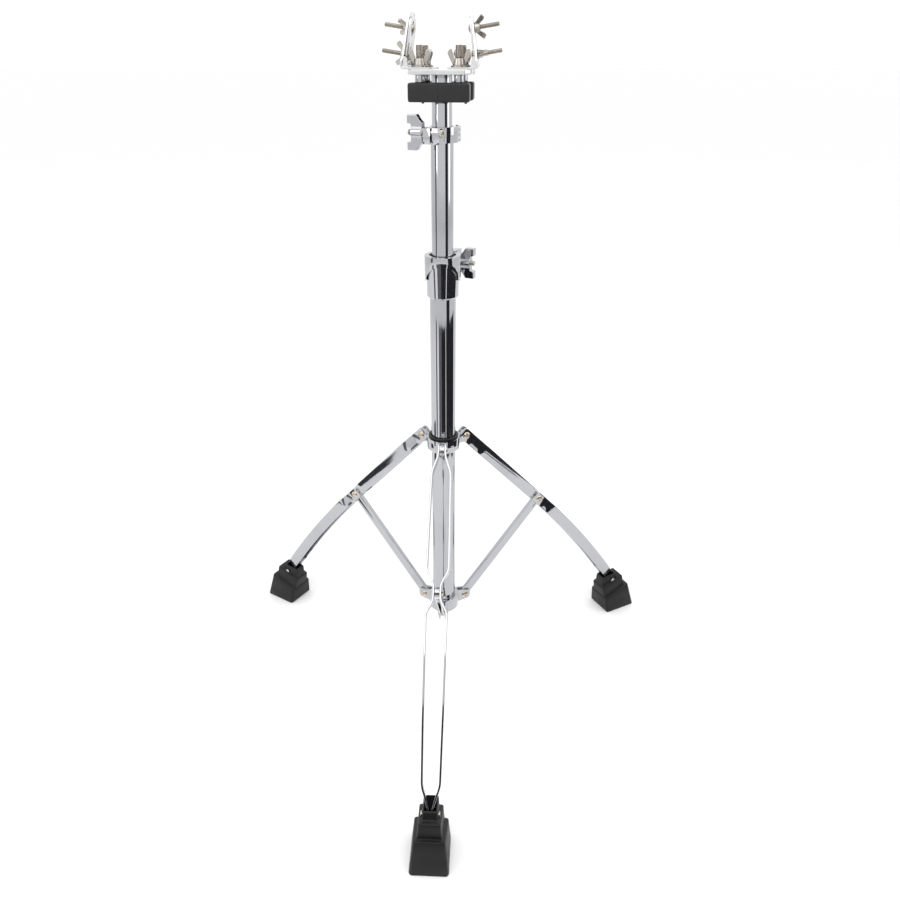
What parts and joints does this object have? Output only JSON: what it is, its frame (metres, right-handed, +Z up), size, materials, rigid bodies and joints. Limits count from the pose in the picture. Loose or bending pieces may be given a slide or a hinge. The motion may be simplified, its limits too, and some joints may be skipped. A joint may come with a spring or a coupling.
{
  "type": "percussion stand",
  "caption": "Chromed double-braced tripod stand with telescoping tubes and a slotted bracket head for mounting small drums.",
  "frame": {"origin": "on the floor, at the middle of the outline box of the three feet, 78.24 mm in front of the tubes' axis", "axes": "+Z up along the tubes, the front leg points along -Y, +X to the right seen from the front"},
  "size_m": [0.63, 0.5464, 0.8764],
  "materials": {
    "chrome": "bright chrome plating over steel, lightly rippled",
    "bright_plate": "chromed pressed steel plate with rolled grain under the plating",
    "hardware": "nickel-plated bolts and wing nuts with a slight warm tint",
    "rivet": "formed rivet heads with a tan passivated tint",
    "black_plastic": "moulded nylon, satin",
    "cushion_rubber": "moulded rubber with a mould line",
    "black_screw": "blackened steel",
    "foot_rubber": "moulded black rubber, satin, slightly dusty"
  },
  "bodies": {
    "base": {"lower_tube": "chrome", "lower_collar": "chrome", "lug_rivets": "rivet", "height_clamp": "chrome", "height_clamp_bolt": "hardware"},
    "height_nut": {"height_wing_nut": "chrome"},
    "lower_bush": {"lower_bush": "black_plastic"},
    "middle": {"middle_tube": "chrome", "memory_clamp_rear": "chrome", "memory_clamp_front": "chrome", "memory_hinge_pin": "hardware", "memory_clamp_bolt": "hardware"},
    "memory_nut": {"memory_wing_nut": "chrome"},
    "upper_bush": {"upper_bush": "black_plastic"},
    "head": {"top_tube": "chrome", "head_plate": "bright_plate", "front_cushion": "cushion_rubber", "rear_cushion": "cushion_rubber", "cushion_spacers": "chrome", "cushion_screws": "black_screw", "head_bolts": "hardware", "head_washers": "hardware"},
    "front_left_nut": {"front_left_head_nut": "hardware"},
    "front_right_nut": {"front_right_head_nut": "hardware"},
    "rear_right_nut": {"rear_right_head_nut": "hardware"},
    "rear_left_nut": {"rear_left_head_nut": "hardware"},
    "left_bracket": {"left_bracket": "bright_plate"},
    "left_extension": {"left_extension": "bright_plate", "left_carriage_bolts": "hardware"},
    "left_lower_nut": {"left_lower_nut": "hardware"},
    "left_upper_nut": {"left_upper_nut": "hardware"},
    "right_bracket": {"right_bracket": "bright_plate"},
    "right_extension": {"right_extension": "bright_plate", "right_carriage_bolts": "hardware"},
    "right_lower_nut": {"right_lower_nut": "hardware"},
    "right_upper_nut": {"right_upper_nut": "hardware"},
    "front_strut": {"front_strut": "chrome"},
    "right_strut": {"right_strut": "chrome"},
    "left_strut": {"left_strut": "chrome"},
    "front_leg": {"front_leg": "chrome", "front_leg_rivets": "rivet", "front_foot": "foot_rubber", "front_foot_screw": "hardware"},
    "right_leg": {"right_leg": "chrome", "right_leg_rivets": "rivet", "right_foot": "foot_rubber", "right_foot_screw": "hardware"},
    "left_leg": {"left_leg": "chrome", "left_leg_rivets": "rivet", "left_foot": "foot_rubber", "left_foot_screw": "hardware"},
    "collar": {"leg_collar": "chrome", "collar_ring": "black_plastic"},
    "collar_bolt": {"collar_lock_bolt": "chrome"}
  },
  "joints": [
    {"name": "height_nut_turn", "type": "hinge", "parent": "base", "child": "height_nut", "pos_m": [0.01094, 0.10831, 0.61303], "axis": [0.9397, -0.342, 0], "continuous": true},
    {"name": "middle_turn", "type": "hinge", "parent": "base", "child": "lower_bush", "pos_m": [0, 0.07824, 0.621], "axis": [0, 0, 1], "continuous": true},
    {"name": "middle_slide", "type": "slide", "parent": "lower_bush", "child": "middle", "axis": [0, 0, 1], "range_m": [-0.112, 0.2]},
    {"name": "memory_nut_turn", "type": "hinge", "parent": "middle", "child": "memory_nut", "pos_m": [-0.00889, 0.05381, 0.76273], "axis": [-0.9397, 0.342, 0], "continuous": true},
    {"name": "head_turn", "type": "hinge", "parent": "middle", "child": "upper_bush", "pos_m": [0, 0.07824, 0.751], "axis": [0, 0, 1], "continuous": true},
    {"name": "head_slide", "type": "slide", "parent": "upper_bush", "child": "head", "axis": [0, 0, 1], "range_m": [-0.007, 0.18]},
    {"name": "front_left_nut_turn", "type": "hinge", "parent": "head", "child": "front_left_nut", "pos_m": [-0.02193, 0.06091, 0.82713], "axis": [0, 0, 1], "continuous": true},
    {"name": "front_right_nut_turn", "type": "hinge", "parent": "head", "child": "front_right_nut", "pos_m": [0.01895, 0.05769, 0.82713], "axis": [0, 0, 1], "continuous": true},
    {"name": "rear_right_nut_turn", "type": "hinge", "parent": "head", "child": "rear_right_nut", "pos_m": [0.02193, 0.09557, 0.82713], "axis": [0, 0, 1], "continuous": true},
    {"name": "rear_left_nut_turn", "type": "hinge", "parent": "head", "child": "rear_left_nut", "pos_m": [-0.01895, 0.09879, 0.82713], "axis": [0, 0, 1], "continuous": true},
    {"name": "left_bracket_slide", "type": "slide", "parent": "head", "child": "left_bracket", "axis": [-0.9925, 0.1219, 0], "range_m": [-0.0004, 0.004]},
    {"name": "left_extension_slide", "type": "slide", "parent": "left_bracket", "child": "left_extension", "axis": [0.1467, -0.018, 0.989], "range_m": [-0.004, 0.004]},
    {"name": "left_lower_nut_turn", "type": "hinge", "parent": "left_extension", "child": "left_lower_nut", "pos_m": [-0.03774, 0.08197, 0.83737], "axis": [-0.9816, 0.1205, 0.1478], "continuous": true},
    {"name": "left_upper_nut_turn", "type": "hinge", "parent": "left_extension", "child": "left_upper_nut", "pos_m": [-0.03414, 0.08153, 0.8616], "axis": [-0.9816, 0.1205, 0.1478], "continuous": true},
    {"name": "right_bracket_slide", "type": "slide", "parent": "head", "child": "right_bracket", "axis": [0.9994, -0.0349, 0], "range_m": [-0.0004, 0.004]},
    {"name": "right_extension_slide", "type": "slide", "parent": "right_bracket", "child": "right_extension", "axis": [-0.1477, 0.0052, 0.989], "range_m": [-0.004, 0.004]},
    {"name": "right_lower_nut_turn", "type": "hinge", "parent": "right_extension", "child": "right_lower_nut", "pos_m": [0.03786, 0.07602, 0.83737], "axis": [0.9884, -0.0345, 0.1478], "continuous": true},
    {"name": "right_upper_nut_turn", "type": "hinge", "parent": "right_extension", "child": "right_upper_nut", "pos_m": [0.03424, 0.07615, 0.8616], "axis": [0.9884, -0.0345, 0.1478], "continuous": true},
    {"name": "tripod_fold", "type": "hinge", "parent": "base", "child": "front_strut", "pos_m": [0, 0.04624, 0.12173], "axis": [-1, 0, 0], "range_deg": [-12, 33]},
    {"name": "right_strut_fold", "type": "hinge", "parent": "base", "child": "right_strut", "pos_m": [0.02771, 0.09424, 0.12173], "axis": [0.5, -0.866, 0], "range_deg": [-12, 33]},
    {"name": "left_strut_fold", "type": "hinge", "parent": "base", "child": "left_strut", "pos_m": [-0.02771, 0.09424, 0.12173], "axis": [0.5, 0.866, 0], "range_deg": [-12, 33]},
    {"name": "front_leg_fold", "type": "hinge", "parent": "front_strut", "child": "front_leg", "pos_m": [0, -0.07686, 0.25374], "axis": [-1, 0, 0], "range_deg": [-66, 24]},
    {"name": "right_leg_fold", "type": "hinge", "parent": "right_strut", "child": "right_leg", "pos_m": [0.13432, 0.15579, 0.25374], "axis": [0.5, -0.866, 0], "range_deg": [-66, 24]},
    {"name": "left_leg_fold", "type": "hinge", "parent": "left_strut", "child": "left_leg", "pos_m": [-0.13432, 0.15579, 0.25374], "axis": [0.5, 0.866, 0], "range_deg": [-66, 24]},
    {"name": "collar_fold", "type": "hinge", "parent": "front_leg", "child": "collar", "pos_m": [0, 0.04624, 0.38575], "axis": [-1, 0, 0], "range_deg": [-12, 33]},
    {"name": "collar_bolt_turn", "type": "hinge", "parent": "collar", "child": "collar_bolt", "pos_m": [0, 0.10524, 0.38205], "axis": [0, 1, 0], "continuous": true}
  ],
  "couplings": [
    {"joint": "right_strut_fold", "follows": "tripod_fold", "ratio": 1},
    {"joint": "left_strut_fold", "follows": "tripod_fold", "ratio": 1},
    {"joint": "front_leg_fold", "follows": "tripod_fold", "ratio": -2},
    {"joint": "right_leg_fold", "follows": "tripod_fold", "ratio": -2},
    {"joint": "left_leg_fold", "follows": "tripod_fold", "ratio": -2},
    {"joint": "collar_fold", "follows": "tripod_fold", "ratio": 1}
  ]
}
